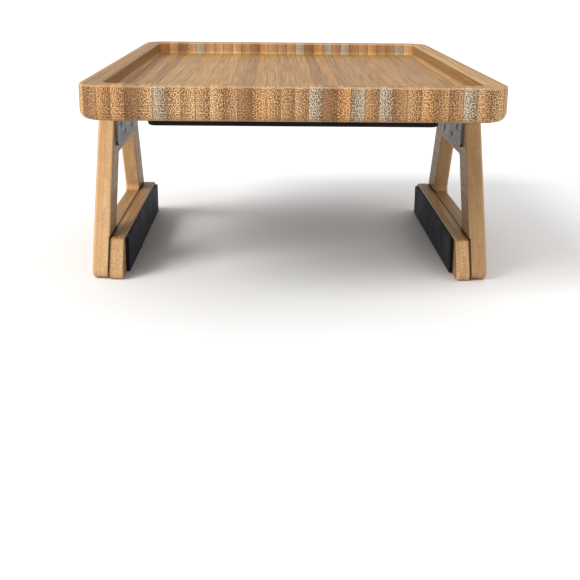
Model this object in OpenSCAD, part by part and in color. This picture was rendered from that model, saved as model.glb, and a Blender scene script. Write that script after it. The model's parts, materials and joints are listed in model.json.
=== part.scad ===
// Clip-on folding tray table for a sofa arm.
// A milled laminated tray stands on two trapezoid leg frames. Each frame hangs on a
// spring hinge under a long edge of the tray, swings out to go over the arm, and folds
// in under the tray. X is across the strips, Y runs along the strips and both hinge
// axes, Z is up, and the legs stand on z = 0.

/* [Tray] */
// Width of the tray, across the strips
tray_w = 266; // [250:1:290]
// Length of the tray, along the strips
tray_l = 400; // [380:1:440]
// Thickness of the tray board
tray_t = 22; // [18:0.5:24]
// Height of the tray's underside above the ground
under_z = 124; // [122:1:140]
// Plan radius of the outer corners
tray_corner_r = 18; // [14:1:20]
// Width of the flat rim
rim_w = 13; // [11:0.5:15]
// Depth of the recess below the rim
recess_depth = 10.5; // [9:0.5:11]
// Plan radius of the recess corners, at the rim
recess_corner_r = 12; // [10.5:0.5:13]
// Radius of the cove along the foot of the recess wall
cove_r = 3; // [2:0.5:5]
// Rounding of the upper outer edge and of the rim's inner edge
top_round = 1.5; // [1:0.25:2]
// Rounding of the lower outer edge
bottom_round = 6; // [5:0.5:7]

/* [Underside mat] */
// Width of the non-slip mat under the tray
mat_w = 182; // [150:1:184]
// Length of the non-slip mat
mat_l = 376; // [340:1:380]
// Thickness of the non-slip mat
mat_t = 4.5; // [3:0.5:5]
// Corner radius of the mat
mat_corner_r = 6; // [3:1:12]

/* [Leg frame] */
// Thickness of the leg plate
leg_t = 12; // [11:0.5:14]
// Height of the leg plate
leg_h = 108; // [104:1:110]
// Width of the plate at its top edge
leg_top_w = 124; // [123:1:140]
// Width of the plate at its foot
leg_foot_w = 243; // [220:1:260]
// Corner radius of the plate's outline
leg_corner_r = 6.5; // [4:0.5:8]
// Height of the bar over the window
leg_top_bar = 28.5; // [24:0.5:34]
// Height of the bar under the window
leg_foot_bar = 27; // [24:0.5:30]
// Width of the side bars, measured level
leg_side_bar = 33; // [28:1:38]
// Corner radius of the window
window_corner_r = 4; // [2:0.5:6]

/* [Clamp block and pad] */
// Thickness of the clamp block
block_t = 10.2; // [8:0.1:12]
// Height of the clamp block
block_h = 27.5; // [22:0.5:30]
// Corner radius of the block's outline
block_corner_r = 4; // [2:0.5:5]
// Thickness of the rubber pad
pad_t = 3; // [2:0.5:4]
// Length of the rubber pad
pad_l = 202; // [160:1:206]
// Height of the rubber pad
pad_h = 25.5; // [18:0.5:26]
// Corner radius of the rubber pad
pad_corner_r = 2.5; // [1:0.5:4]

/* [Hinge] */
// Outer radius of the rolled knuckles
knuckle_r = 5.5; // [5:0.1:5.8]
// Radius of the hinge pin
pin_r = 3.2; // [2.8:0.1:3.3]
// Running clearance of the pin in a knuckle
pin_clearance = 0.05; // [0.03:0.01:0.08]
// Sheet thickness of both leaves
leaf_t = 2; // [1.8:0.1:2.2]
// Reach of the tray leaf, from the axis to its inner edge
tray_leaf_reach = 35; // [33:1:38]
// Reach of the leg leaf, from the axis to its lower edge
leg_leaf_reach = 32; // [30:1:34]
// Corner radius of the leaves
leaf_corner_r = 4; // [2:1:6]
// Side gap between two neighbouring knuckles
knuckle_gap = 0.3; // [0.2:0.05:0.5]

/* [Torsion spring] */
// Wire radius
wire_r = 0.95; // [0.8:0.05:1]
// Mean radius of the coil
coil_r = 4.95; // [4.7:0.05:5]
// Full turns of the coil
coil_turns = 13; // [11:1:13]
// Length of the tail that bears on the tray leaf
tray_tail = 9; // [6:0.5:9]
// Length of the tail that bears on the leg leaf
leg_tail = 8; // [5:0.5:8]

/* [Screws] */
// Shank radius of the wood screws
screw_r = 1.5; // [1.3:0.1:1.6]
// Head radius of the countersunk screws
head_r = 3; // [2.8:0.1:3.2]
// Length of the leaf screws
leaf_screw_l = 10; // [8:0.5:10]
// Length of the block screws
block_screw_l = 18; // [16:0.5:19]

/* [Hidden] */

$fn = 64;
LEFT = 180;    // the left side is the right side turned half way round Z
RIGHT = 0;
ARC_STEPS = 6; // straight steps in a rounded corner of an outline
EPS = 0.01;    // how far a cutter runs past the face that it cuts

bamboo = [0.78, 0.57, 0.34];
rubber = [0.10, 0.10, 0.11];
steel = [0.62, 0.64, 0.66];
bright = [0.80, 0.81, 0.83];

// Heights and places of the right-hand side, which the left repeats
axis_x = tray_w / 2;                    // hinge axis, in plan under the tray's edge
axis_z = under_z - knuckle_r;           // knuckles are tangent to the underside
leg_x = axis_x - knuckle_r + leaf_t;    // inner face of the leg plate
block_x = leg_x - block_t;              // inner face of the clamp block
pad_z = (block_h - pad_h) / 2;
side_slope = (leg_foot_w - leg_top_w) / 2 / leg_h;

// Knuckles along the axis, from the pin's head to its far end, as [start, end]
leg_knuckles = [[-57.8, -46.4], [-29.1, -17.2], [20.2, 32.8], [49.6, 60.8]];
tray_knuckles = [[-46.4, -29.1], [32.8, 49.6]];
spring_span = [-17.2, 20.2];
barrel = [leg_knuckles[0][0], leg_knuckles[3][1]];
notch_reach = 9;        // how far below the axis the leg leaf is cut away
leaf_setback = 10.5;    // how far from the axis the tray leaf is cut away
pin_head_t = 2.8;
peen_t = 0.8;

// Leaf screws, as [along the axis, out from the axis]
leaf_screw_places = [[-40, 18.5], [-18, 27], [18, 27], [40, 18.5]];
// Block screws, along the block
block_screw_places = [-84, -28, 28, 84];
head_t = 1.8;
head_clearance = 0.1;
pilot_clearance = 0.05;
tip_h = 2;
slot_w = 0.8;

// The coil, from the tail on the tray leaf to the tail on the leg leaf
tray_tail_angle = 230;
leg_tail_angle = 560;
coil_sweep = leg_tail_angle - tray_tail_angle + 360 * coil_turns;
coil_start = spring_span[1] - 0.6 - wire_r;
coil_end = spring_span[0] + 0.6 + wire_r;
WIRE_SIDES = 6;
TURN_STEPS = 12;

// ---- Outline helpers ----

function unit(v) = v / norm(v);

// Points on an arc about c, from angle a0 to a1
function arc(c, r, a0, a1, steps = ARC_STEPS) =
    [for (i = [0:steps]) let(a = a0 + (a1 - a0) * i / steps) c + r * [cos(a), sin(a)]];

// The arc that rounds corner p between neighbours a and b
function rounded_corner(a, p, b, r) =
    let(u = unit(a - p), v = unit(b - p), half = acos(u * v) / 2,
        c = p + unit(u + v) * r / sin(half),
        s = p + u * r / tan(half) - c, e = p + v * r / tan(half) - c,
        a0 = atan2(s[1], s[0]), turn = atan2(cross(s, e), s * e))
    arc(c, r, a0, a0 + turn);

function rounded_outline(pts, r) =
    let(n = len(pts))
    [for (i = [0:n - 1])
        each rounded_corner(pts[(i + n - 1) % n], pts[i], pts[(i + 1) % n], r)];

// A level-sided trapezoid, standing from y0 to y1
function trapezoid(half0, y0, half1, y1) =
    [[-half0, y0], [half0, y0], [half1, y1], [-half1, y1]];

function leg_half(z) = leg_foot_w / 2 - side_slope * z;

module rounded_rect(w, l, r) {
    polygon(rounded_outline(trapezoid(w / 2, -l / 2, w / 2, l / 2), r));
}

// Stands a drawing up: its x runs along Y, its y along Z, and it is t thick from x on
module standing(x, t) {
    translate([x, 0, 0]) rotate([90, 0, 90]) linear_extrude(t) children();
}

// A cylinder along Y
module bar_y(r, y0, y1) {
    translate([axis_x, y1, axis_z]) rotate([90, 0, 0]) cylinder(r = r, h = y1 - y0);
}

// ---- Tray ----

// A slab w by l with plan corners of radius r, whose edge follows a profile.
// The profile gives [distance in from the slab's side, height] from bottom to top.
module edged_slab(w, l, r, profile) {
    steps = len(profile) - 1;
    corner = [
        [0, profile[0][1]],
        for (p = profile) [r - p[0], p[1]],
        [0, profile[steps][1]],
    ];
    for (q = [0:3])
        translate([(q == 0 || q == 3 ? 1 : -1) * (w / 2 - r), (q < 2 ? 1 : -1) * (l / 2 - r), 0])
            rotate(90 * q) rotate_extrude(angle = 90) polygon(corner);
    across = [
        for (p = profile) [w / 2 - p[0], p[1]],
        for (i = [steps:-1:0]) [-w / 2 + profile[i][0], profile[i][1]],
    ];
    translate([0, l / 2 - r, 0]) rotate([90, 0, 0]) linear_extrude(l - 2 * r) polygon(across);
    along = [
        for (p = profile) [r - p[0], p[1]],
        [0, profile[steps][1]],
        [0, profile[0][1]],
    ];
    for (s = [0, 180])
        rotate(s) translate([w / 2 - r, l / 2 - r, 0]) rotate([90, 0, -90])
            linear_extrude(w - 2 * r) mirror([1, 0]) polygon(along);
}

// Outer edge of the tray, from the underside to the rim
function outer_profile() = [
    for (p = arc([bottom_round, under_z + bottom_round], bottom_round, 270, 180)) p,
    for (p = arc([top_round, under_z + tray_t - top_round], top_round, 180, 90, 4)) p,
];

// Wall of the recess, from its floor to the rim
function recess_profile() =
    let(floor_z = under_z + tray_t - recess_depth, rim_z = under_z + tray_t)
    [
        for (p = arc([cove_r, floor_z + cove_r], cove_r, 270, 180)) p,
        for (p = arc([-top_round, rim_z - top_round], top_round, 0, 60, 4)) p,
        [-top_round, rim_z + EPS],
    ];

module tray_board() {
    color(bamboo) difference() {
        edged_slab(tray_w, tray_l, tray_corner_r, outer_profile());
        edged_slab(tray_w - 2 * rim_w, tray_l - 2 * rim_w, recess_corner_r, recess_profile());
        for (turn = [LEFT, RIGHT]) rotate(turn) tray_leaf_screw_spots() pilot(leaf_screw_l);
    }
}

module underside_mat() {
    color(rubber) translate([0, 0, under_z - mat_t])
        linear_extrude(mat_t) rounded_rect(mat_w, mat_l, mat_corner_r);
}

// ---- Leg, drawn as the right-hand one ----

module leg_frame() {
    window_z1 = leg_h - leg_top_bar;
    color(bamboo) difference() {
        standing(leg_x, leg_t) difference() {
            polygon(rounded_outline(
                trapezoid(leg_half(0), 0, leg_half(leg_h), leg_h), leg_corner_r));
            polygon(rounded_outline(
                trapezoid(leg_half(leg_foot_bar) - leg_side_bar, leg_foot_bar,
                          leg_half(window_z1) - leg_side_bar, window_z1),
                window_corner_r));
        }
        leg_leaf_screw_spots() pilot(leaf_screw_l);
        block_screw_spots() pilot(block_screw_l);
    }
}

module clamp_block() {
    color(bamboo) difference() {
        standing(block_x, block_t)
            polygon(rounded_outline(
                trapezoid(leg_half(0), 0, leg_half(block_h), block_h), block_corner_r));
        block_screw_spots() pilot(block_screw_l);
        block_screw_spots() countersink();
    }
}

module clamp_pad() {
    color(rubber) standing(block_x - pad_t, pad_t)
        translate([0, pad_z + pad_h / 2]) rounded_rect(pad_l, pad_h, pad_corner_r);
}

// ---- Hinge, drawn as the right-hand one ----

// Knuckles over the given stretches, each short by half the side gap at both ends
module knuckles(spans) {
    for (s = spans) bar_y(knuckle_r, s[0] + knuckle_gap / 2, s[1] - knuckle_gap / 2);
}

module pin_bore() {
    bar_y(pin_r + pin_clearance, barrel[0] - 1, barrel[1] + 1);
}

module tray_leaf() {
    reach = tray_leaf_reach - leaf_setback;
    color(steel) difference() {
        union() {
            translate([axis_x - leaf_setback - reach / 2, (barrel[0] + barrel[1]) / 2, under_z - leaf_t])
                linear_extrude(leaf_t) rounded_rect(reach, barrel[1] - barrel[0], leaf_corner_r);
            for (s = tray_knuckles)
                translate([axis_x - leaf_setback - leaf_corner_r, s[0] + knuckle_gap / 2, under_z - leaf_t])
                    cube([leaf_setback + leaf_corner_r, s[1] - s[0] - knuckle_gap, leaf_t]);
            knuckles(tray_knuckles);
        }
        pin_bore();
        tray_leaf_screw_spots() countersink();
    }
}

module leg_leaf() {
    top = axis_z - notch_reach;
    foot = axis_z - leg_leaf_reach;
    middle = (barrel[0] + barrel[1]) / 2;
    color(steel) difference() {
        union() {
            standing(axis_x - knuckle_r, leaf_t) union() {
                translate([middle, (top + foot) / 2])
                    rounded_rect(barrel[1] - barrel[0], top - foot, leaf_corner_r);
                for (s = leg_knuckles)
                    translate([s[0] + knuckle_gap / 2, top - leaf_corner_r])
                        square([s[1] - s[0] - knuckle_gap, notch_reach + leaf_corner_r]);
            }
            knuckles(leg_knuckles);
        }
        pin_bore();
        leg_leaf_screw_spots() countersink();
    }
}

module hinge_pin() {
    color(bright) union() {
        bar_y(pin_r, barrel[0] - EPS, barrel[1] + peen_t);
        // Domed head at the start of the barrel
        translate([axis_x, barrel[0], axis_z]) rotate([90, 0, 0])
            rotate_extrude() polygon([
                [0, 0], [knuckle_r - 0.2, 0],
                for (i = [0:ARC_STEPS])
                    let(a = 90 * i / ARC_STEPS)
                    [(knuckle_r - 0.2) * cos(a), 0.8 + (pin_head_t - 0.8) * sin(a)],
            ]);
        // Peened far end
        translate([axis_x, barrel[1] + 0.1, axis_z]) rotate([-90, 0, 0])
            cylinder(r1 = pin_r + 0.8, r2 = pin_r, h = peen_t);
    }
}

// Centre and turning angle of the spring's wire, as [along Y, radius vector, angle]
function coil_point(i, steps) =
    let(a = tray_tail_angle + coil_sweep * i / steps)
    [coil_start + (coil_end - coil_start) * i / steps, coil_r * [cos(a), sin(a)], a];

// One ring of the wire about a centre, square to the wire where the coil turns by a
function wire_ring(y, c, a) =
    [for (k = [0:WIRE_SIDES - 1])
        let(b = 360 * k / WIRE_SIDES, out = wire_r * cos(b))
        [axis_x + c[0] + out * cos(a), y + wire_r * sin(b), axis_z + c[1] + out * sin(a)]];

module torsion_spring() {
    steps = round(TURN_STEPS * coil_sweep / 360);
    coil = [for (i = [0:steps]) coil_point(i, steps)];
    first = coil[0];
    last = coil[steps];
    // Each tail leaves the coil straight on, along the wire's own direction
    tray_end = first[1] - tray_tail * [-sin(first[2]), cos(first[2])];
    leg_end = last[1] + leg_tail * [-sin(last[2]), cos(last[2])];
    path = [[first[0], tray_end, first[2]], each coil, [last[0], leg_end, last[2]]];
    n = len(path);
    points = [for (p = path) each wire_ring(p[0], p[1], p[2])];
    sides = [
        for (i = [0:n - 2]) for (k = [0:WIRE_SIDES - 1])
            let(k2 = (k + 1) % WIRE_SIDES, a = i * WIRE_SIDES, b = a + WIRE_SIDES)
            [a + k, b + k, b + k2, a + k2],
    ];
    start_cap = [for (k = [0:WIRE_SIDES - 1]) k];
    end_cap = [for (k = [WIRE_SIDES - 1:-1:0]) (n - 1) * WIRE_SIDES + k];
    color(bright) polyhedron(points, [start_cap, each sides, end_cap], convexity = 10);
}

// ---- Screws, drawn pointing up from the plane of their heads ----

module screw(l) {
    difference() {
        union() {
            cylinder(r1 = head_r, r2 = screw_r, h = head_t);
            translate([0, 0, head_t - EPS]) cylinder(r = screw_r, h = l - head_t - tip_h + EPS);
            translate([0, 0, l - tip_h]) cylinder(r1 = screw_r, r2 = 0.2, h = tip_h);
        }
        for (turn = [0, 90]) rotate(turn)
            translate([-head_r * 0.6, -slot_w / 2, -EPS]) cube([head_r * 1.2, slot_w, head_t * 0.6]);
    }
}

module pilot(l) {
    cylinder(r = screw_r + pilot_clearance, h = l + 0.5);
}

module countersink() {
    translate([0, 0, -EPS])
        cylinder(r1 = head_r + head_clearance, r2 = screw_r + head_clearance, h = head_t + EPS);
    cylinder(r = screw_r + head_clearance, h = leaf_t + 0.5);
}

// Places on the tray leaf, with the screws pointing up
module tray_leaf_screw_spots() {
    for (p = leaf_screw_places)
        translate([axis_x - p[1], p[0], under_z - leaf_t]) children();
}

// Places on the leg leaf, with the screws pointing out into the plate
module leg_leaf_screw_spots() {
    for (p = leaf_screw_places)
        translate([axis_x - knuckle_r, p[0], axis_z - p[1]]) rotate([0, 90, 0]) children();
}

// Places on the clamp block, under the pad, with the screws pointing out into the plate
module block_screw_spots() {
    for (y = block_screw_places)
        translate([block_x, y, block_h / 2]) rotate([0, 90, 0]) children();
}

module tray_leaf_screws() {
    color(bright) tray_leaf_screw_spots() screw(leaf_screw_l);
}

module leg_leaf_screws() {
    color(bright) leg_leaf_screw_spots() screw(leaf_screw_l);
}

module block_screws() {
    color(bright) block_screw_spots() screw(block_screw_l);
}

tray_board();
underside_mat();
rotate(LEFT) leg_frame();  // left_leg_frame
rotate(RIGHT) leg_frame();  // right_leg_frame
rotate(LEFT) clamp_block();  // left_clamp_block
rotate(RIGHT) clamp_block();  // right_clamp_block
rotate(LEFT) clamp_pad();  // left_clamp_pad
rotate(RIGHT) clamp_pad();  // right_clamp_pad
rotate(LEFT) tray_leaf();  // left_tray_leaf
rotate(RIGHT) tray_leaf();  // right_tray_leaf
rotate(LEFT) leg_leaf();  // left_leg_leaf
rotate(RIGHT) leg_leaf();  // right_leg_leaf
rotate(LEFT) hinge_pin();  // left_hinge_pin
rotate(RIGHT) hinge_pin();  // right_hinge_pin
rotate(LEFT) torsion_spring();  // left_torsion_spring
rotate(RIGHT) torsion_spring();  // right_torsion_spring
rotate(LEFT) tray_leaf_screws();  // left_tray_leaf_screws
rotate(RIGHT) tray_leaf_screws();  // right_tray_leaf_screws
rotate(LEFT) leg_leaf_screws();  // left_leg_leaf_screws
rotate(RIGHT) leg_leaf_screws();  // right_leg_leaf_screws
rotate(LEFT) block_screws();  // left_block_screws
rotate(RIGHT) block_screws();  // right_block_screws
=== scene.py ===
"""Folding sofa-arm tray table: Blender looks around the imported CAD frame.

Lengths are in millimetres up to the moment a mesh, light or camera is made, and X is
across the bamboo strips, Y along them and along both hinge axes, Z up.
"""

import json
import math
from types import SimpleNamespace

import bmesh
import bpy
from mathutils import Matrix, Vector


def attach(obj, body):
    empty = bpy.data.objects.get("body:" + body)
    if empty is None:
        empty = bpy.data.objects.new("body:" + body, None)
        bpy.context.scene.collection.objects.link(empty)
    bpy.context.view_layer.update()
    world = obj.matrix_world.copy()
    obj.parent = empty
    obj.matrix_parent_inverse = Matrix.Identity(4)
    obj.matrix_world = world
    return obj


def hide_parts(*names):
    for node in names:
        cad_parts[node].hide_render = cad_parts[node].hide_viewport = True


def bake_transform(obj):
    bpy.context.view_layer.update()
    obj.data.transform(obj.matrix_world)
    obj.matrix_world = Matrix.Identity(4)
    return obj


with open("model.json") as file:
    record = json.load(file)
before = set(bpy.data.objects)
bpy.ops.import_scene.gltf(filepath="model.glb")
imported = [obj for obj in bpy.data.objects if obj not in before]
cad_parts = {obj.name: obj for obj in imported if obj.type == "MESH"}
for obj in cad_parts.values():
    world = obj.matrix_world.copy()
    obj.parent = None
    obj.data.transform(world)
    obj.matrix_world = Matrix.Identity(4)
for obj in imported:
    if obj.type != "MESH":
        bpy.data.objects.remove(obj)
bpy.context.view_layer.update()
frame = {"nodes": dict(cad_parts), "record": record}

MM = 0.001
LEFT, RIGHT = "left", "right"
SIDES = (LEFT, RIGHT)

# ---- Sizes, as in part.scad ----

TRAY_W, TRAY_L, TRAY_T, UNDER_Z = 266.0, 400.0, 22.0, 124.0
RIM_Z = UNDER_Z + TRAY_T
TRAY_CORNER_R, RIM_W, RECESS_DEPTH = 18.0, 13.0, 10.5
RECESS_CORNER_R, COVE_R, TOP_ROUND, BOTTOM_ROUND = 12.0, 3.0, 1.5, 6.0
MAT_W, MAT_L, MAT_T, MAT_CORNER_R = 182.0, 376.0, 4.5, 6.0
LEG_X, LEG_T, LEG_H, LEG_FOOT_HALF, LEG_SLOPE = 129.5, 12.0, 108.0, 121.5, 59.5 / 108
LEG_CORNER_R, WINDOW_Z0, WINDOW_Z1, SIDE_BAR, WINDOW_R = 6.5, 27.0, 79.5, 33.0, 4.0
BLOCK_T, BLOCK_H, BLOCK_CORNER_R = 10.2, 27.5, 4.0
PAD_T, PAD_L, PAD_H, PAD_CORNER_R = 3.0, 202.0, 25.5, 2.5
AXIS_X, AXIS_Z, KNUCKLE_R = 133.0, 118.5, 5.5
WIRE_R, COIL_R, COIL_TURNS = 0.95, 4.95, 13
TRAY_TAIL, LEG_TAIL, TRAY_TAIL_ANGLE, LEG_TAIL_ANGLE = 9.0, 8.0, 230.0, 560.0
COIL_START, COIL_END = 18.65, -15.65

# ---- Edge roundings in millimetres; a pair is (at the inner face, at the outer face) ----

LEG_EDGES, WINDOW_EDGES, BLOCK_EDGES = (1.6, 2.2), (1.2, 1.8), (1.5, 1.1)
PAD_EDGE, PAD_CROWN = 1.0, 0.35
MAT_EDGE, MAT_CROWN = 1.6, 0.5
TRAY_CORNER_STEPS, LEG_CORNER_STEPS, MAT_CORNER_STEPS = 12, 8, 8

# ---- Outlines ----


def arc_steps(steps):
    """Angles from 0 to a quarter turn, both ends included, in radians."""
    return [math.pi / 2 * i / steps for i in range(steps + 1)]


def shifted_corners(points, inset):
    """Corners of a convex anticlockwise polygon whose sides are moved in by inset."""
    count = len(points)
    lines = []
    for i in range(count):
        a, b = Vector(points[i]), Vector(points[(i + 1) % count])
        along = (b - a).normalized()
        lines.append((a + Vector((-along.y, along.x)) * inset, along))
    corners = []
    for i in range(count):
        (p, u), (q, v) = lines[i - 1], lines[i]
        t = ((q - p).x * v.y - (q - p).y * v.x) / (u.x * v.y - u.y * v.x)
        corners.append(p + u * t)
    return corners


def rounded_outline(points, radius, inset=0.0, steps=6):
    """The polygon's outline moved in by inset, with rounded corners."""
    corners = shifted_corners(points, inset)
    r = max(radius - inset, 0.05)
    outline = []
    for i, p in enumerate(corners):
        u = (corners[i - 1] - p).normalized()
        v = (corners[(i + 1) % len(corners)] - p).normalized()
        half = math.acos(max(-1.0, min(1.0, u.dot(v)))) / 2
        centre = p + (u + v).normalized() * r / math.sin(half)
        s = p + u * r / math.tan(half) - centre
        e = p + v * r / math.tan(half) - centre
        a0 = math.atan2(s.y, s.x)
        turn = math.atan2(s.x * e.y - s.y * e.x, s.dot(e))
        for k in range(steps + 1):
            a = a0 + turn * k / steps
            outline.append(centre + Vector((math.cos(a), math.sin(a))) * r)
    return outline


def trapezoid(half0, z0, half1, z1):
    return [(-half0, z0), (half0, z0), (half1, z1), (-half1, z1)]


def rectangle(w, h, centre_z=0.0):
    return trapezoid(w / 2, centre_z - h / 2, w / 2, centre_z + h / 2)


def leg_half(z):
    return LEG_FOOT_HALF - LEG_SLOPE * z


# ---- Meshes ----


def lying(ring, height):
    """A flat outline laid level at a height: its points are (x, y)."""
    return [Vector((p.x, p.y, height)) for p in ring]


def standing(ring, x):
    """A flat outline stood up square to X: its points are (y, z)."""
    return [Vector((x, p.x, p.y)) for p in ring]


def add_rings(bm, rings):
    """Skins neighbouring rings of as many points each, and returns their vertices."""
    made = [[bm.verts.new(p * MM) for p in ring] for ring in rings]
    for a, b in zip(made, made[1:]):
        count = len(a)
        for i in range(count):
            j = (i + 1) % count
            bm.faces.new((a[i], a[j], b[j], b[i]))
    return made


def new_piece(name, bm, material, smooth_angle=40.0):
    """The bmesh as an object with a material, smooth but for its sharp edges."""
    bmesh.ops.recalc_face_normals(bm, faces=bm.faces)
    mesh = bpy.data.meshes.new(name)
    bm.to_mesh(mesh)
    bm.free()
    mesh.polygons.foreach_set("use_smooth", [True] * len(mesh.polygons))
    mesh.set_sharp_from_angle(angle=math.radians(smooth_angle))
    mesh.materials.append(material)
    piece = bpy.data.objects.new(name, mesh)
    bpy.context.scene.collection.objects.link(piece)
    return piece


def even_shading(piece):
    """Lets big faces set the normals, so flats stay flat beside rounded edges."""
    weighted = piece.modifiers.new("even_shading", "WEIGHTED_NORMAL")
    weighted.keep_sharp = True
    weighted.weight = 100


def turned_to(side, piece):
    """Turns a piece drawn as the right-hand one to its own side."""
    if side == LEFT:
        piece.data.transform(Matrix.Rotation(math.pi, 4, "Z"))
    return piece


def tray_profile():
    """The tray's section from its underside over the rim to the recess floor.

    Each entry is (distance in from the outer edge, plan corner radius, height)."""
    rows = []
    for a in arc_steps(8):
        inset = BOTTOM_ROUND * (1 - math.sin(a))
        rows.append((inset, TRAY_CORNER_R - inset, UNDER_Z + BOTTOM_ROUND * (1 - math.cos(a))))
    for a in arc_steps(5):
        inset = TOP_ROUND * (1 - math.cos(a))
        rows.append((inset, TRAY_CORNER_R - inset, RIM_Z - TOP_ROUND * (1 - math.sin(a))))
    for a in arc_steps(5):
        out = TOP_ROUND * (1 - math.sin(a))
        rows.append((RIM_W - out, RECESS_CORNER_R + out, RIM_Z - TOP_ROUND * (1 - math.cos(a))))
    floor_z = RIM_Z - RECESS_DEPTH
    for a in arc_steps(10):
        inset = COVE_R * (1 - math.cos(a))
        rows.append((RIM_W + inset, RECESS_CORNER_R - inset, floor_z + COVE_R * (1 - math.sin(a))))
    return rows


def make_tray(material):
    bm = bmesh.new()
    rings = []
    for inset, radius, height in tray_profile():
        corners = rectangle(TRAY_W - 2 * inset, TRAY_L - 2 * inset)
        rings.append(lying(rounded_outline(corners, radius, steps=TRAY_CORNER_STEPS), height))
    made = add_rings(bm, rings)
    bm.faces.new(made[0])
    bm.faces.new(made[-1])
    piece = new_piece("tray", bm, material)
    even_shading(piece)
    return piece


def plate_rows(x0, x1, round0, round1, steps=4):
    """Across a plate from x0 to x1: (inset of the outline, x), with both edges rounded."""
    rows = [(round0 * (1 - math.sin(a)), x0 + round0 * (1 - math.cos(a))) for a in arc_steps(steps)]
    rows += [(round1 * (1 - math.cos(a)), x1 - round1 * (1 - math.sin(a))) for a in arc_steps(steps)]
    return rows


def make_leg(side, material):
    """The leg frame: a trapezoid plate with a trapezoid window and rounded edges."""
    outer = trapezoid(leg_half(0), 0, leg_half(LEG_H), LEG_H)
    window = trapezoid(leg_half(WINDOW_Z0) - SIDE_BAR, WINDOW_Z0,
                       leg_half(WINDOW_Z1) - SIDE_BAR, WINDOW_Z1)
    bm = bmesh.new()
    outside = add_rings(bm, [
        standing(rounded_outline(outer, LEG_CORNER_R, inset, LEG_CORNER_STEPS), x)
        for inset, x in plate_rows(LEG_X, LEG_X + LEG_T, *LEG_EDGES)])
    inside = add_rings(bm, [
        standing(rounded_outline(window, WINDOW_R, -inset, LEG_CORNER_STEPS), x)
        for inset, x in plate_rows(LEG_X, LEG_X + LEG_T, *WINDOW_EDGES)])
    for a, b in ((outside[0], inside[0]), (outside[-1], inside[-1])):
        for i in range(len(a)):
            j = (i + 1) % len(a)
            bm.faces.new((a[i], a[j], b[j], b[i]))
    piece = new_piece(side + "_leg", bm, material)
    even_shading(piece)
    return turned_to(side, piece)


def make_block(side, material):
    """The clamp block glued to the leg's inner face, rounded round its inner face."""
    outer = trapezoid(leg_half(0), 0, leg_half(BLOCK_H), BLOCK_H)
    bm = bmesh.new()
    rows = plate_rows(LEG_X - BLOCK_T, LEG_X, *BLOCK_EDGES)
    rings = add_rings(bm, [standing(rounded_outline(outer, BLOCK_CORNER_R, inset), x)
                           for inset, x in rows])
    bm.faces.new(rings[0])
    bm.faces.new(rings[-1])
    piece = new_piece(side + "_block", bm, material)
    even_shading(piece)
    return turned_to(side, piece)


def make_pad(side, material):
    """The rubber pad: a slightly crowned face and a moulded, rounded edge."""
    inner, outer = LEG_X - BLOCK_T - PAD_T, LEG_X - BLOCK_T
    corners = rectangle(PAD_L, PAD_H, BLOCK_H / 2)
    rows = [(9.0, inner), (6.0, inner + 0.05), (3.0, inner + 0.2)]
    rows += [(PAD_EDGE * (1 - math.sin(a)), inner + PAD_CROWN + PAD_EDGE * (1 - math.cos(a)))
             for a in arc_steps(4)]
    rows += [(0.0, outer)]
    bm = bmesh.new()
    rings = add_rings(bm, [standing(rounded_outline(corners, PAD_CORNER_R, inset), x)
                           for inset, x in rows])
    bm.faces.new(rings[0])
    bm.faces.new(rings[-1])
    return turned_to(side, new_piece(side + "_pad", bm, material))


def make_mat(material):
    """The non-slip mat: a soft sheet with a rounded lower edge and a slight crown."""
    corners = rectangle(MAT_W, MAT_L)
    bottom = UNDER_Z - MAT_T
    rows = [(80.0, bottom), (40.0, bottom + 0.05), (12.0, bottom + 0.2), (5.0, bottom + 0.38)]
    rows += [(MAT_EDGE * (1 - math.sin(a)), bottom + MAT_CROWN + MAT_EDGE * (1 - math.cos(a)))
             for a in arc_steps(5)]
    rows += [(0.0, UNDER_Z)]
    bm = bmesh.new()
    rings = add_rings(bm, [lying(rounded_outline(corners, MAT_CORNER_R, inset, MAT_CORNER_STEPS), z)
                           for inset, z in rows])
    bm.faces.new(rings[0])
    bm.faces.new(rings[-1])
    return new_piece("grip_mat", bm, material)


def coil_path(turn_steps=28):
    """Centre line of the spring's wire as [(x, y, z), turning angle], tail to tail."""
    sweep = LEG_TAIL_ANGLE - TRAY_TAIL_ANGLE + 360 * COIL_TURNS
    steps = round(turn_steps * sweep / 360)
    path = []
    for i in range(steps + 1):
        a = math.radians(TRAY_TAIL_ANGLE + sweep * i / steps)
        y = COIL_START + (COIL_END - COIL_START) * i / steps
        path.append((Vector((AXIS_X + COIL_R * math.cos(a), y, AXIS_Z + COIL_R * math.sin(a))), a))
    (first, a0), (last, a1) = path[0], path[-1]
    tray_end = first - Vector((-math.sin(a0), 0, math.cos(a0))) * TRAY_TAIL
    leg_end = last + Vector((-math.sin(a1), 0, math.cos(a1))) * LEG_TAIL
    return [(tray_end, a0)] + path + [(leg_end, a1)]


def make_spring(side, material, wire_sides=12):
    bm = bmesh.new()
    rings = []
    for centre, a in coil_path():
        out = Vector((math.cos(a), 0, math.sin(a)))
        angles = [2 * math.pi * k / wire_sides for k in range(wire_sides)]
        rings.append([centre + out * WIRE_R * math.cos(b) + Vector((0, WIRE_R * math.sin(b), 0))
                      for b in angles])
    made = add_rings(bm, rings)
    bm.faces.new(made[0])
    bm.faces.new(made[-1])
    return turned_to(side, new_piece(side + "_spring", bm, material))


# ---- Materials ----


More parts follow.
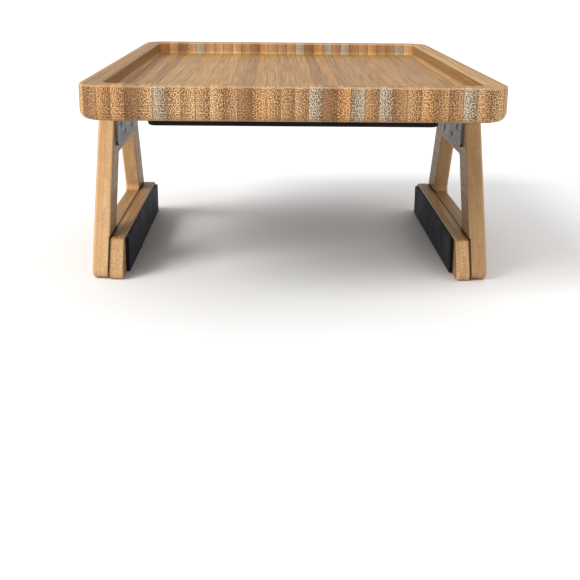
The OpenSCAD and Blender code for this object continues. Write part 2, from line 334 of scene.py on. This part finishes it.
class Graph:
    """A new material's node tree, with short calls for the nodes used here."""

    def __init__(self, name, **shader):
        self.material = bpy.data.materials.new(name)
        self.material.use_nodes = True
        self.tree = self.material.node_tree
        self.shader = self.tree.nodes["Principled BSDF"]
        for socket, value in shader.items():
            self.shader.inputs[socket.replace("_", " ")].default_value = value
        coordinates = self.tree.nodes.new("ShaderNodeTexCoord")
        self.place = coordinates.outputs["Object"]
        self.normal = coordinates.outputs["Normal"]

    def node(self, kind, inputs, **settings):
        made = self.tree.nodes.new("ShaderNode" + kind)
        for key, value in settings.items():
            setattr(made, key, value)
        for key, value in inputs.items():
            self.put(made.inputs[key], value)
        return made

    def put(self, socket, value):
        if isinstance(value, bpy.types.NodeSocket):
            self.tree.links.new(value, socket)
        else:
            socket.default_value = value

    def math(self, operation, a, b=0.0, c=0.0):
        return self.node("Math", {0: a, 1: b, 2: c}, operation=operation).outputs[0]

    def times(self, a, b):
        return self.math("MULTIPLY", a, b)

    def off_middle(self, fraction):
        """How far a fraction is from a half."""
        return self.math("ABSOLUTE", self.math("SUBTRACT", fraction, 0.5))

    def xyz(self, vector):
        """The three parts of a vector, times 1000 so that places are in millimetres."""
        scaled = self.node("VectorMath", {0: vector, "Scale": 1000.0}, operation="SCALE")
        return self.node("SeparateXYZ", {0: scaled.outputs[0]}).outputs

    def point(self, x, y, z):
        return self.node("CombineXYZ", {0: x, 1: y, 2: z}).outputs[0]

    def stretched(self, scale):
        """The place with each axis times its own scale, in turns per millimetre."""
        factors = tuple(1000.0 * s for s in scale)
        return self.node("VectorMath", {0: self.place, 1: factors}, operation="MULTIPLY").outputs[0]

    def noise(self, vector, detail=2.0, roughness=0.5):
        return self.node("TexNoise", {"Vector": vector, "Scale": 1.0, "Detail": detail,
                                      "Roughness": roughness}).outputs[0]

    def cells(self, vector, dimensions="3D", randomness=1.0):
        """How far each place is from the middle of the cell it is in."""
        return self.node("TexVoronoi", {"Vector": vector, "Scale": 1.0, "Randomness": randomness},
                         voronoi_dimensions=dimensions).outputs["Distance"]

    def random(self, value):
        return self.node("TexWhiteNoise", {"W": value}, noise_dimensions="1D").outputs["Value"]

    def smooth(self, value, low, high, to_low=0.0, to_high=1.0):
        """Value from low to high, eased and clamped, as a number from to_low to to_high."""
        return self.node("MapRange", {0: value, 1: low, 2: high, 3: to_low, 4: to_high},
                         interpolation_type="SMOOTHSTEP").outputs[0]

    def mix(self, factor, a, b, blend="MIX"):
        return self.node("Mix", {0: factor, 6: a, 7: b}, data_type="RGBA",
                         blend_type=blend).outputs[2]

    def ramp(self, value, stops):
        made = self.node("ValToRGB", {0: value})
        elements = made.color_ramp.elements
        while len(elements) < len(stops):
            elements.new(0.5)
        for element, (position, colour) in zip(elements, stops):
            element.position = position
            element.color = (*colour, 1.0)
        return made.outputs[0]

    def bump(self, height, distance, strength=1.0):
        """Height, from 0 to 1, as a bump this many millimetres deep."""
        made = self.node("Bump", {"Height": height, "Distance": distance * MM,
                                  "Strength": strength})
        self.put(self.shader.inputs["Normal"], made.outputs[0])

    def finish(self, **linked):
        for socket, value in linked.items():
            self.put(self.shader.inputs[socket.replace("_", " ")], value)
        return self.material


def shade(r, g, b):
    return (r, g, b, 1.0)


# Factors on a strip's own tone
STREAK_DARK, STREAK_PALE = (0.62, 0.53, 0.36), (1.26, 1.19, 0.92)
END_INNER, END_OUTER = (1.66, 1.74, 1.88), (1.36, 1.34, 1.38)
WANDER_SHADE = 0.82

# Colours laid over the tone
FIBRE_ALONG, FIBRE_END = (0.17, 0.085, 0.035), (0.075, 0.032, 0.013)
# The third of these is painted shade, for the groove where the clamp block meets the leg
NODE_MARK, GLUE, GROOVE_SHADE = (0.20, 0.10, 0.045), (0.15, 0.072, 0.03), (0.045, 0.024, 0.012)
# A painted highlight for the rounded edges
EDGE_HIGHLIGHT = (0.66, 0.46, 0.26)
PALE_ALONG, PALE_END = (0.40, 0.29, 0.15), (0.36, 0.31, 0.225)

NODE_SPACING = 310.0     # between the nodes of a culm, in millimetres


def board_strips(g, place, normal, strip_width, strip_offset):
    """Strips counted across X, each standing the board's full height."""
    x, y, z = place
    row = g.math("DIVIDE", g.math("ADD", x, strip_offset), strip_width)
    strip = g.math("FLOOR", row)
    across = g.math("FRACT", row)
    # A painted highlight on the rim's rounded top edges
    edge_highlight = g.times(g.smooth(z, RIM_Z - 1.6, RIM_Z - 0.9), g.smooth(normal[2], 0.8, 0.99, 1.0, 0.0))
    # The milled walls of the recess are burnished, so their dots show less
    dotted = g.smooth(g.math("ABSOLUTE", y), TRAY_L / 2 - 9, TRAY_L / 2 - 7, 0.5, 1.0)
    return SimpleNamespace(strip=strip, across=across, tone_key=g.random(strip), edge_highlight=edge_highlight,
                           seam=g.smooth(g.off_middle(across), 0.43, 0.49), dotted=dotted,
                           groove_shade=None)


def leg_layers(g, place, normal, strip_width, strip_offset, layer_t, layer_origin):
    """Layers layer_t thick across X, each made of strips counted up Z."""
    x, _, z = place
    out = g.math("ABSOLUTE", x)
    depth = g.math("DIVIDE", g.math("SUBTRACT", out, layer_origin), layer_t)
    layer = g.math("ADD", g.math("FLOOR", depth), g.times(g.math("SIGN", x), 97.0))
    row = g.math("ADD", g.math("DIVIDE", z, strip_width), g.times(layer, 0.37))
    row = g.math("ADD", row, strip_offset)
    strip = g.math("ADD", g.math("FLOOR", row), g.times(layer, 41.0))
    across = g.math("FRACT", depth)
    tone_key = g.math("MULTIPLY_ADD", g.random(layer), 0.65, g.times(g.random(strip), 0.35))
    # Glue lines between the strips of a layer are fainter than those between layers
    strip_seam = g.times(g.smooth(g.off_middle(g.math("FRACT", row)), 0.485, 0.5), 0.22)
    layer_seam = g.times(g.smooth(g.off_middle(across), 0.46, 0.5), 0.6)
    # A painted highlight on the rounded edges, where the normal turns away from X
    tilt = g.math("ABSOLUTE", normal[0])
    edge_highlight = g.times(g.smooth(tilt, 0.15, 0.55), g.smooth(tilt, 0.75, 0.97, 1.0, 0.0))
    # Painted shade darkens the colour in the groove where the clamp block meets the leg
    from_joint = g.math("ABSOLUTE", g.math("SUBTRACT", out, LEG_X))
    groove_shade = g.times(g.smooth(from_joint, 0.5, 1.5, 1.0, 0.0),
                    g.smooth(z, BLOCK_H + 0.5, BLOCK_H + 2.0, 1.0, 0.0))
    return SimpleNamespace(strip=strip, across=across, tone_key=tone_key, edge_highlight=edge_highlight,
                           seam=g.math("MAXIMUM", strip_seam, layer_seam), dotted=1.0,
                           groove_shade=groove_shade)


def towards_bark(g, across, side_key):
    """From 0 to 1 across a strip, towards the side that was the outside of the culm."""
    flip = g.math("GREATER_THAN", side_key, 0.5)
    mirrored = g.math("SUBTRACT", 1.0, across)
    return g.node("Mix", {0: flip, 2: across, 3: mirrored}, data_type="FLOAT").outputs[0]


def fibre_bundles(g, place, tone_key, outward):
    """The bundles as dots, which crowd outwards, and as streaks along Y.

    They are shifted by each strip's own tone, so that no streak crosses a glue line."""
    x, y, z = place
    shifted_x = g.math("ADD", x, g.times(tone_key, 57.0))
    leaning_z = g.math("ADD", z, g.times(y, 0.004))
    dots = g.cells(g.point(g.times(shifted_x, 1.1), leaning_z, 0.0), "2D", 0.75)
    reach = g.smooth(outward, 0.0, 1.0, 0.34, 0.46)
    dot = g.smooth(g.math("SUBTRACT", reach, dots), -0.1, 0.1)
    streak = g.noise(g.point(g.times(shifted_x, 1.3), g.times(y, 0.012), g.times(z, 1.3)), 4.0, 0.6)
    return dot, streak


def node_marks(g, y, side_key):
    """A node of the culm every NODE_SPACING along a strip, at its own place on each."""
    row = g.math("ADD", g.math("DIVIDE", y, NODE_SPACING), g.times(side_key, 7.0))
    waver = g.math("SUBTRACT", g.noise(g.stretched((0.3, 0.1, 0.3)), 3.0), 0.5)
    gap = g.math("ADD", g.off_middle(g.math("FRACT", row)), g.times(waver, 0.014))
    return g.smooth(gap, 0.0015, 0.0075, 1.0, 0.0)


def along_grain(g, tone, streak, dot, marks):
    """The colour of the faces that run along the fibres."""
    colour = g.mix(g.smooth(streak, 0.3, 0.7), g.mix(1.0, tone, shade(*STREAK_DARK), "MULTIPLY"),
                   g.mix(1.0, tone, shade(*STREAK_PALE), "MULTIPLY"))
    colour = g.mix(g.times(dot, 0.13), colour, shade(*FIBRE_ALONG))
    return g.mix(g.times(marks, 0.42), colour, shade(*NODE_MARK))


def across_grain(g, tone, outward, dot, dotted, speckle):
    """The colour of the end grain, where the bundles show as dots."""
    colour = g.mix(g.smooth(outward, 0.0, 1.0, 0.0, speckle),
                   g.mix(1.0, tone, shade(*END_INNER), "MULTIPLY"),
                   g.mix(1.0, tone, shade(*END_OUTER), "MULTIPLY"))
    return g.mix(g.times(g.times(dot, dotted), speckle), colour, shade(*FIBRE_END))


def bamboo(name, tones, mean, speckle, calmness, strip_width, strip_offset, layer_t=None,
           layer_origin=None, pale_strips=()):
    """Laminated bamboo: strips with their own tones, fibre bundles that run along Y as
    fine streaks and show as dots in the end grain, glue lines, and node marks.

    Calmness draws the tones along the grain towards the mean, and speckle is the
    strength of the end grain. With layer_t the wood is in layers, as leg_layers says."""
    g = Graph(name, Specular_IOR_Level=0.12, Coat_Weight=0.02, Coat_Roughness=0.3)
    place = g.xyz(g.place)
    normal = g.node("SeparateXYZ", {0: g.normal}).outputs
    if layer_t:
        wood = leg_layers(g, place, normal, strip_width, strip_offset, layer_t, layer_origin)
    else:
        wood = board_strips(g, place, normal, strip_width, strip_offset)
    x, y, z = place
    side_key = g.random(g.math("ADD", wood.strip, 311.5))
    outward = towards_bark(g, wood.across, side_key)
    dot, streak = fibre_bundles(g, place, wood.tone_key, outward)

    tone = g.ramp(wood.tone_key, tones)
    calm_tone = g.mix(calmness, tone, shade(*mean))
    if pale_strips:
        pale = 0.0
        for k in pale_strips:
            pale = g.math("ADD", pale, g.math("COMPARE", wood.strip, float(k), 0.5))
        tone = g.mix(g.times(pale, 0.85), tone, shade(*PALE_END))
        calm_tone = g.mix(g.times(pale, 0.3), calm_tone, shade(*PALE_ALONG))

    facing_end = g.smooth(g.math("ABSOLUTE", normal[1]), 0.25, 0.8)
    colour = g.mix(facing_end, along_grain(g, calm_tone, streak, dot, node_marks(g, y, side_key)),
                   across_grain(g, tone, outward, dot, wood.dotted, speckle))
    glue = g.times(wood.seam, g.smooth(facing_end, 0.0, 1.0, 0.45, 0.68))
    colour = g.mix(glue, colour, shade(*GLUE))
    wander = g.noise(g.point(g.times(x, 0.12), g.times(y, 0.012), g.times(z, 0.12)), 2.0)
    colour = g.mix(g.smooth(wander, 0.3, 0.7, 0.0, 0.2), colour,
                   shade(*(WANDER_SHADE * part for part in mean)))
    # The rounded edges are painted paler as a highlight
    colour = g.mix(g.times(wood.edge_highlight, 0.38), colour, shade(*EDGE_HIGHLIGHT))
    # Painted shade in the groove where the clamp block meets the leg
    if wood.groove_shade is not None:
        colour = g.mix(g.times(wood.groove_shade, 0.85), colour, shade(*GROOVE_SHADE))

    height = g.math("SUBTRACT", streak, g.times(dot, 0.6))
    g.bump(g.math("SUBTRACT", height, wood.seam), 0.06, 0.5)
    return g.finish(Base_Color=colour, Roughness=g.smooth(streak, 0.2, 0.8, 0.52, 0.38))


def rubber(name, grain):
    """Near-black foam rubber: a fine pebbled grain, paler scuffs and a dusty sheen."""
    g = Graph(name, Specular_IOR_Level=0.12, Sheen_Weight=0.04, Sheen_Roughness=0.5,
              Sheen_Tint=shade(0.7, 0.78, 1.0))
    pebble = g.cells(g.stretched((grain, grain, grain)))
    scuff = g.noise(g.stretched((0.05, 0.03, 0.05)), 5.0, 0.65)
    colour = g.ramp(scuff, [(0.3, (0.005, 0.005, 0.008)), (0.62, (0.007, 0.007, 0.011)),
                            (0.8, (0.011, 0.011, 0.016))])
    colour = g.mix(g.smooth(pebble, 0.1, 0.7, 0.35, 0.0), colour, shade(0.005, 0.005, 0.006))
    g.bump(pebble, 0.12, 0.7)
    return g.finish(Base_Color=colour, Roughness=g.smooth(scuff, 0.3, 0.7, 0.78, 0.6))


def steel(name, base, dark, rough, scratch_scale, scratch_depth, glance=1.0, barrel=None):
    """Plated steel with fine drawn lines along one way, smudges and duller spots.

    Glance, from 0 to 1, is how bright it is seen edge on. With barrel, a colour, the
    metal within the knuckles' reach of the hinge axis is polished and has that colour, and
    the darker base of the rest is painted shade."""
    g = Graph(name, Metallic=1.0, Specular_Tint=shade(glance, glance, glance))
    lines = g.noise(g.stretched(scratch_scale), 3.0, 0.6)
    smudge = g.noise(g.stretched((0.12, 0.12, 0.12)), 4.0, 0.6)
    colour = g.mix(g.smooth(lines, 0.3, 0.7), shade(*dark), shade(*base))
    roughness = g.math("ADD", g.smooth(smudge, 0.3, 0.75, rough[0], rough[1]),
                       g.smooth(lines, 0.3, 0.7, 0.04, -0.03))
    if barrel:
        x, _, z = g.xyz(g.place)
        out = g.math("SUBTRACT", g.math("ABSOLUTE", x), AXIS_X)
        up = g.math("SUBTRACT", z, AXIS_Z)
        reach = g.math("SQRT", g.math("ADD", g.math("POWER", out, 2.0), g.math("POWER", up, 2.0)))
        polished = g.smooth(reach, KNUCKLE_R + 0.1, KNUCKLE_R + 0.9, 1.0, 0.0)
        colour = g.mix(polished, colour, shade(*barrel))
        roughness = g.math("MULTIPLY", roughness, g.smooth(polished, 0.0, 1.0, 1.0, 0.45))
    colour = g.mix(g.smooth(smudge, 0.45, 0.8, 0.0, 0.4), colour, g.mix(0.5, colour, shade(*dark)))
    g.bump(lines, scratch_depth, 0.4)
    return g.finish(Base_Color=colour, Roughness=roughness)


def pale_floor():
    g = Graph("pale_floor", Specular_IOR_Level=0.1)
    tone = g.noise(g.stretched((0.004, 0.004, 0.004)), 2.0)
    return g.finish(Base_Color=g.ramp(tone, [(0.3, (0.92, 0.92, 0.92)), (0.7, (0.95, 0.95, 0.95))]),
                    Roughness=g.smooth(tone, 0.3, 0.7, 0.9, 0.95))


# ---- The object ----

TRAY_MEAN = (0.425, 0.236, 0.070)
# The right leg's darker mean is painted shade, for the shadow the tray casts on it
LEG_MEANS = {LEFT: (0.440, 0.256, 0.118), RIGHT: (0.400, 0.230, 0.104)}
# Factors on each leg's tones: the right leg's 0.7 is painted shade, on all its faces
LEG_PAINTED_SHADE = {LEFT: 1.0, RIGHT: 0.7}
HAIR = 0.05     # how far outside a leg's or block's faces its layers start, in millimetres
TRAY_TONES = [
    (0.0, (0.22, 0.112, 0.054)), (0.22, (0.31, 0.168, 0.080)), (0.45, (0.41, 0.235, 0.108)),
    (0.7, (0.50, 0.305, 0.148)), (0.85, (0.44, 0.215, 0.078)), (1.0, (0.34, 0.212, 0.118)),
]
LEG_TONES = [
    (0.0, (0.40, 0.225, 0.098)), (0.4, (0.44, 0.258, 0.118)), (0.7, (0.47, 0.285, 0.136)),
    (1.0, (0.42, 0.240, 0.106)),
]


def scaled(tones, factor):
    """The same ramp with every colour made lighter or darker."""
    return [(position, tuple(part * factor for part in colour)) for position, colour in tones]


def leg_bamboo(side):
    """Leg wood in two layers, which start a hair outside it so that no face is on an edge."""
    # The right leg's material is a darker copy of the left's: painted shade
    return bamboo(side + "_leg_bamboo", scaled(LEG_TONES, LEG_PAINTED_SHADE[side]), LEG_MEANS[side],
                  speckle=0.3, calmness=0.5, strip_width=19.0, strip_offset=0.4,
                  layer_t=LEG_T / 2 + HAIR, layer_origin=LEG_X - HAIR)


def block_bamboo():
    return bamboo("block_bamboo", LEG_TONES, LEG_MEANS[LEFT], speckle=0.5, calmness=0.5,
                  strip_width=17.0, strip_offset=0.7,
                  layer_t=BLOCK_T / 2 + HAIR, layer_origin=LEG_X - BLOCK_T - HAIR)


def tray_bamboo():
    """The pale strips are those that show in the photo, counted from the left."""
    return bamboo("tray_bamboo", TRAY_TONES, TRAY_MEAN, speckle=0.95, calmness=0.36,
                  strip_width=8.58, strip_offset=137.3, pale_strips=(6, 17, 20, 22, 28))


def plated_steels():
    """Materials of the metal parts, by slot."""
    return {
        # The leaf's dark base is painted shade and painted reflection, for the shade under the tray and
        # the dark things its chrome reflects there; the barrel colour is the chrome's own
        "sheet_steel": steel("leaf_steel", base=(0.17, 0.172, 0.17), dark=(0.10, 0.102, 0.10),
                             rough=(0.3, 0.46), scratch_scale=(2.2, 0.06, 2.2),
                             scratch_depth=0.02, glance=0.62, barrel=(0.54, 0.54, 0.55)),
        "bright_steel": steel("pin_chrome", base=(0.74, 0.74, 0.75), dark=(0.55, 0.55, 0.56),
                              rough=(0.12, 0.22), scratch_scale=(0.3, 3.0, 0.3),
                              scratch_depth=0.01),
        "spring_steel": steel("spring_chrome", base=(0.46, 0.46, 0.47), dark=(0.30, 0.30, 0.31),
                              rough=(0.14, 0.24), scratch_scale=(0.8, 0.8, 0.8),
                              scratch_depth=0.01),
        # The screws' near-black colour is painted shade, for the shade in their countersinks
        "screw_steel": steel("screw_steel", base=(0.03, 0.03, 0.03), dark=(0.012, 0.012, 0.012),
                             rough=(0.3, 0.45), scratch_scale=(1.5, 1.5, 1.5),
                             scratch_depth=0.02, glance=0.4),
    }


def make_object():
    tray_wood = tray_bamboo()
    leg_wood = {side: leg_bamboo(side) for side in SIDES}
    block_wood = block_bamboo()
    pad_rubber = rubber("pad_rubber", grain=2.2)
    mat_rubber = rubber("mat_rubber", grain=1.4)
    plated = plated_steels()

    place(make_tray(tray_wood), "tray", "tray_board", "bamboo")
    mat = place(make_mat(mat_rubber), "tray", "underside_mat", "rubber")
    for side in SIDES:
        body = side + "_leg"
        place(make_leg(side, leg_wood[side]), body, side + "_leg_frame", "bamboo_leg")
        place(make_block(side, block_wood), body, side + "_clamp_block", "bamboo_leg")
        pad = place(make_pad(side, pad_rubber), body, side + "_clamp_pad", "rubber")
        place_spring(side, plated["spring_steel"])
    for row in frame["record"]["subparts"]:
        if row["material_slot"] in plated:
            finish_cad(frame["nodes"][row["node"]], plated[row["material_slot"]])


def place(piece, body, node, slot):
    """Rides the piece on its body in place of a CAD node."""
    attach(piece, body)
    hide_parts(node)
    return piece


def place_spring(side, material):
    """Makes the side's spring where the CAD spring is and hides the CAD spring."""
    spring = make_spring(side, material)
    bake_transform(spring)
    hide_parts(side + "_torsion_spring")


def finish_cad(node, material):
    """A carried-over steel part: better material, and smooth but for its sharp edges."""
    for slot in node.material_slots:
        slot.material = material
    for polygon in node.data.polygons:
        polygon.use_smooth = True
    node.data.set_sharp_from_angle(angle=math.radians(35.0))


# ---- Studio ----

PHOTO_LENS = 65.85                        # on a 36 mm sensor
PHOTO_PLACE = (-13.46, -848.0, 214.3)     # of the camera
PHOTO_YAW, PHOTO_PITCH, PHOTO_ROLL = 1.05, 16.87, -0.56


def make_camera():
    yaw, pitch, roll = (math.radians(a) for a in (PHOTO_YAW, PHOTO_PITCH, PHOTO_ROLL))
    ahead = Vector((math.sin(yaw) * math.cos(pitch), math.cos(yaw) * math.cos(pitch), -math.sin(pitch)))
    level = Vector((math.cos(yaw), -math.sin(yaw), 0))
    down = ahead.cross(level)
    right = math.cos(roll) * level + math.sin(roll) * down
    below = -math.sin(roll) * level + math.cos(roll) * down
    data = bpy.data.cameras.new("camera")
    data.lens = PHOTO_LENS
    data.sensor_width = 36.0
    data.clip_start, data.clip_end = 0.01, 100.0
    camera = bpy.data.objects.new("camera", data)
    turned = Matrix((right, -below, -ahead)).transposed().to_4x4()
    camera.matrix_world = Matrix.Translation(Vector(PHOTO_PLACE) * MM) @ turned
    bpy.context.scene.collection.objects.link(camera)
    bpy.context.scene.camera = camera


def add_sun(name, azimuth, elevation, spread, strength, colour):
    """A soft distant light, from azimuth degrees left of straight in front."""
    data = bpy.data.lights.new(name, "SUN")
    data.energy = strength
    data.angle = math.radians(spread)
    data.color = colour
    light = bpy.data.objects.new(name, data)
    a, e = math.radians(azimuth), math.radians(elevation)
    towards = Vector((-math.sin(a) * math.cos(e), -math.cos(a) * math.cos(e), math.sin(e)))
    light.rotation_euler = (-towards).to_track_quat("-Z", "Y").to_euler()
    bpy.context.scene.collection.objects.link(light)


def make_studio():
    bm = bmesh.new()
    bmesh.ops.create_circle(bm, cap_ends=True, segments=64, radius=30.0)
    floor = new_piece("floor", bm, pale_floor())
    floor.location.z = -0.0002
    world = bpy.data.worlds.new("studio")
    world.use_nodes = True
    background = world.node_tree.nodes["Background"]
    background.inputs["Color"].default_value = (1.0, 1.0, 1.0, 1.0)
    background.inputs["Strength"].default_value = 0.86
    bpy.context.scene.world = world
    bpy.context.scene.view_settings.view_transform = "Standard"
    add_sun("key", azimuth=58.0, elevation=35.0, spread=34.0, strength=2.3, colour=(1.0, 0.99, 0.97))


make_object()
make_camera()
make_studio()
